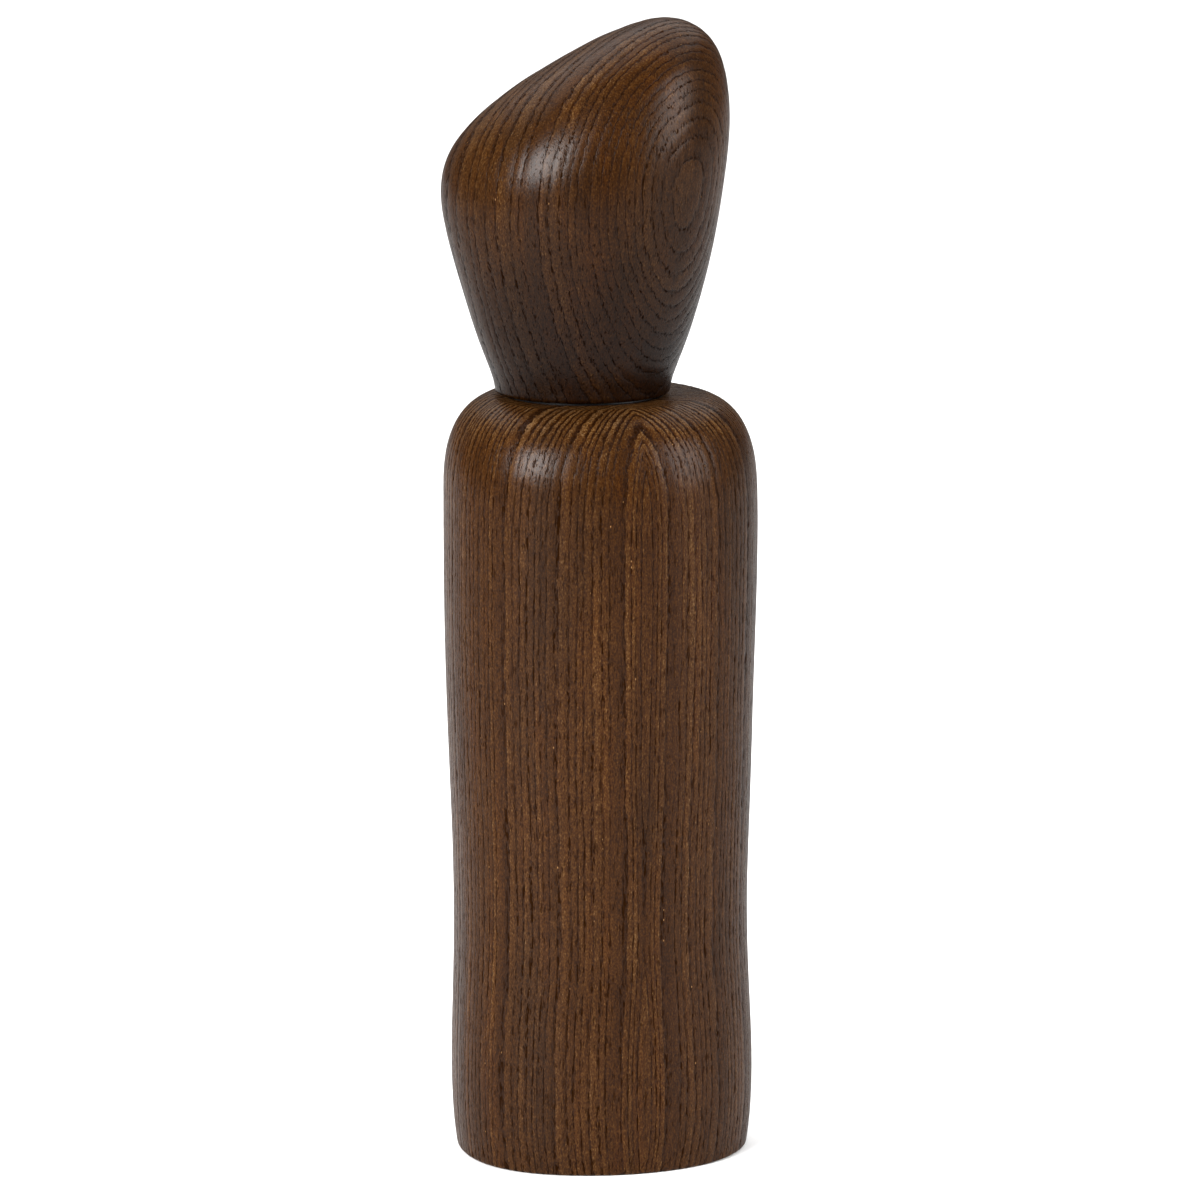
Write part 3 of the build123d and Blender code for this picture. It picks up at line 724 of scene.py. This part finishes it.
PLASTIC_CLOUD = 9 * MM
PLASTIC_SPECULAR = 0.28
CERAMIC_GRIT = 0.25 * MM
CERAMIC_STAIN = 4 * MM
METAL_CLOUD = 6 * MM
RUBBER_BLOOM = 0.8 * MM
DRAWN_SIZE = (0.08 * MM, 0.08 * MM, 12 * MM)
TURNED_SIZE = (0.15 * MM, 0.15 * MM, 2 * MM)
WIRE_SIZE = (0.2 * MM, 0.2 * MM, 1 * MM)


def moulded(name, dark, light, rough, grain):
    """Moulded plastic with a fine spark-eroded texture."""
    n = Nodes(name)
    place = n.place()
    fine = n.noise(n.stretched(place, (grain,) * 3), detail=2)
    broad = n.noise(n.stretched(place, (PLASTIC_CLOUD,) * 3), detail=3)
    n.set(
        Base_Color=n.mix(broad, dark, light),
        Roughness=n.math("MULTIPLY_ADD", broad, 0.12, rough - 0.06),
        Normal=n.bump(fine, 0.02 * MM, 0.5),
        Specular_IOR_Level=PLASTIC_SPECULAR,
    )
    return n.material


def fired(name):
    """Unglazed technical ceramic."""
    n = Nodes(name)
    place = n.place()
    grit = n.noise(n.stretched(place, (CERAMIC_GRIT,) * 3), detail=3, roughness=0.7)
    stain = n.noise(n.stretched(place, (CERAMIC_STAIN,) * 3), detail=3)
    color = n.mix(stain, (0.62, 0.60, 0.55), (0.74, 0.72, 0.68))
    color = n.mix(n.smooth(grit, 0.62, 0.75, 0.0, 0.5), color, (0.40, 0.37, 0.33))
    n.set(
        Base_Color=color,
        Roughness=n.math("MULTIPLY_ADD", grit, 0.2, 0.42),
        Normal=n.bump(grit, 0.03 * MM),
    )
    return n.material


def drawn_metal(name, dark, light, rough, size):
    """Metal with fine lines along one direction."""
    n = Nodes(name)
    place = n.place()
    lines = n.noise(n.stretched(place, size), detail=4, roughness=0.65)
    broad = n.noise(n.stretched(place, (METAL_CLOUD,) * 3), detail=2)
    n.set(
        Base_Color=n.mix(lines, dark, light),
        Metallic=1.0,
        Roughness=n.math("MULTIPLY_ADD", broad, 0.16, rough - 0.08),
        Normal=n.bump(lines, 0.01 * MM, 0.6),
    )
    return n.material


def soft_rubber(name):
    """Matt black rubber with a faint bloom."""
    n = Nodes(name)
    bloom = n.noise(n.stretched(n.place(), (RUBBER_BLOOM,) * 3), detail=3)
    n.set(
        Base_Color=n.mix(bloom, (0.010, 0.010, 0.010), (0.028, 0.028, 0.027)),
        Roughness=n.math("MULTIPLY_ADD", bloom, 0.2, 0.6),
        Normal=n.bump(bloom, 0.01 * MM, 0.5),
    )
    return n.material


# ---------------------------------------------------------------- spring
SPRING_TURNS = 5
SPRING_CLOSED_TURNS = 0.75
SPRING_WIRE_R = 0.45 * MM
SPRING_COIL_R = SPRING_HIGH.x - SPRING_WIRE_R
SPRING_STEPS = 40 * SPRING_TURNS
SPRING_SIDES = 14


def coil_height(turn, bottom, top):
    """Height of the wire's middle after so many turns: coil on coil at the ends, open between."""
    free = SPRING_TURNS - 2 * SPRING_CLOSED_TURNS
    t = min(max((turn - SPRING_CLOSED_TURNS) / free, 0.0), 1.0)
    closed = min(turn, SPRING_CLOSED_TURNS)
    closed += max(turn - SPRING_TURNS + SPRING_CLOSED_TURNS, 0)
    z = bottom + (top - bottom - 4 * SPRING_WIRE_R * SPRING_CLOSED_TURNS) * t
    return z + 2 * SPRING_WIRE_R * closed


def wire_ring(turn, z):
    """Points round the wire where it has made so many turns."""
    a = 2 * pi * turn
    out = np.array([cos(a), sin(a), 0])
    centre = SPRING_COIL_R * out + np.array([0, 0, z])
    b = 2 * pi * np.arange(SPRING_SIDES) / SPRING_SIDES
    return centre + SPRING_WIRE_R * (np.cos(b)[:, None] * out + np.sin(b)[:, None] * [0, 0, 1])


def make_spring():
    """Coil spring with closed ends between the carrier and the washer."""
    low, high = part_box("rotor_carrier")[1].z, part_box("spring_washer")[0].z
    bottom, top = low + SPRING_WIRE_R, high - SPRING_WIRE_R
    turns = [SPRING_TURNS * i / SPRING_STEPS for i in range(SPRING_STEPS + 1)]
    rows = np.array([wire_ring(turn, coil_height(turn, bottom, top)) for turn in turns])
    spring = skin("coil_spring", rows, closed=False)
    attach(spring, "spindle")
    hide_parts("pressure_spring")
    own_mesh(spring)
    return spring


# ---------------------------------------------------------------- finish
def shade(obj, material):
    """Gives an object one material and smooth shading."""
    obj.data.materials.clear()
    obj.data.materials.append(material)
    for polygon in obj.data.polygons:
        polygon.use_smooth = True


def paint_nodes(material, *names):
    """Gives CAD nodes one material."""
    for name in names:
        NODES[name].data.materials.clear()
        NODES[name].data.materials.append(material)


body = make_body()
head = make_head()
spring = make_spring()
shade(body, dark_ash("ash_body", BODY_ASH))
shade(head, dark_ash("ash_head", HEAD_ASH))

black = moulded("black_plastic", (0.010, 0.010, 0.011), (0.018, 0.018, 0.019), 0.42, 0.35 * MM)
natural = moulded("natural_plastic", (0.58, 0.56, 0.50), (0.66, 0.64, 0.58), 0.40, 0.5 * MM)
steel = drawn_metal("bright_steel", (0.46, 0.46, 0.47), (0.56, 0.56, 0.57), 0.30, TURNED_SIZE)
wire = drawn_metal("spring_wire", (0.34, 0.34, 0.36), (0.45, 0.45, 0.47), 0.34, WIRE_SIZE)
aluminium = drawn_metal("aluminium", (0.34, 0.35, 0.36), (0.44, 0.45, 0.46), 0.40, DRAWN_SIZE)

shade(spring, wire)
paint_nodes(
    black, "glide_ring", "mill_housing", "bottom_bridge", "shaft_bearing", "rotor_carrier",
    "adjuster_knob", "head_stopper",
)
paint_nodes(natural, "shaft_bush")
paint_nodes(fired("burr_ceramic"), "stator_ring", "rotor_cone")
paint_nodes(
    steel, "flange_screws", "bridge_screws", "stopper_screws", "thrust_ball", "adjuster_screw",
    "spring_washer",
)
paint_nodes(wire, "shaft_clip", "rotor_clip", "stopper_clip")
paint_nodes(aluminium, "drive_shaft")
paint_nodes(soft_rubber("seal_rubber"), "adjuster_o_ring")


# ---------------------------------------------------------------- stage, light and camera
FLOOR_HALF = 9.0
FLOOR_GAP = 0.03 * MM  # so that the base and the floor don't share a plane
FLOOR_CLOUD = 0.2
WORLD_STRENGTH = 0.28
# Each softbox has its name, its place and the point it faces in metres, its width and height in
# metres, its power in watts and the angle in degrees that its light spreads over.
SOFTBOXES = (
    ("key", (-1.05, -1.34, 0.85), (0, 0, 0.17), 0.95, 0.8, 28.5, 100),
    ("fill", (1.6, -0.65, 0.75), (0, 0, 0.15), 0.9, 1.2, 14.5, 100),
    ("backdrop", (0, 1.8, 1.8), (0, 1.8, 0), 3.2, 3.6, 90, 180),
)


def make_floor():
    """Plain pale floor."""
    bpy.ops.mesh.primitive_plane_add(size=2 * FLOOR_HALF, location=(0, 0, -FLOOR_GAP))
    floor = bpy.context.object
    floor.name = "floor"
    n = Nodes("pale_floor")
    mottle = n.noise(n.stretched(n.place(), (FLOOR_CLOUD,) * 3), detail=2)
    n.set(Base_Color=n.mix(mottle, (0.86, 0.86, 0.86), (0.89, 0.89, 0.885)), Roughness=0.7)
    floor.data.materials.append(n.material)


def add_softbox(name, place, target, width, height, power, spread):
    """Rectangular area light at a place, facing its target."""
    light = bpy.data.lights.new(name, "AREA")
    light.shape = "RECTANGLE"
    light.size = width
    light.size_y = height
    light.energy = power
    light.spread = radians(spread)
    lamp = bpy.data.objects.new(name, light)
    lamp.location = place
    aim = Vector(target) - Vector(place)
    lamp.rotation_euler = aim.to_track_quat("-Z", "Y").to_euler()
    bpy.context.scene.collection.objects.link(lamp)


def make_world():
    """Even white light from all sides."""
    world = bpy.data.worlds.new("studio")
    world.use_nodes = True
    world.node_tree.nodes["Background"].inputs[0].default_value = (1, 1, 1, 1)
    world.node_tree.nodes["Background"].inputs[1].default_value = WORLD_STRENGTH
    bpy.context.scene.world = world


def make_camera():
    """Long lens, a little above the mill."""
    camera = bpy.data.objects.new("camera", bpy.data.cameras.new("camera"))
    camera.data.lens = CAMERA_LENS
    camera.data.sensor_width = CAMERA_SENSOR
    camera.location = CAMERA_PLACE
    camera.rotation_euler = (radians(90 - CAMERA_PITCH), 0, 0)
    bpy.context.scene.collection.objects.link(camera)
    bpy.context.scene.camera = camera


make_floor()
make_world()
for softbox in SOFTBOXES:
    add_softbox(*softbox)
make_camera()
bpy.context.scene.view_settings.view_transform = "Standard"
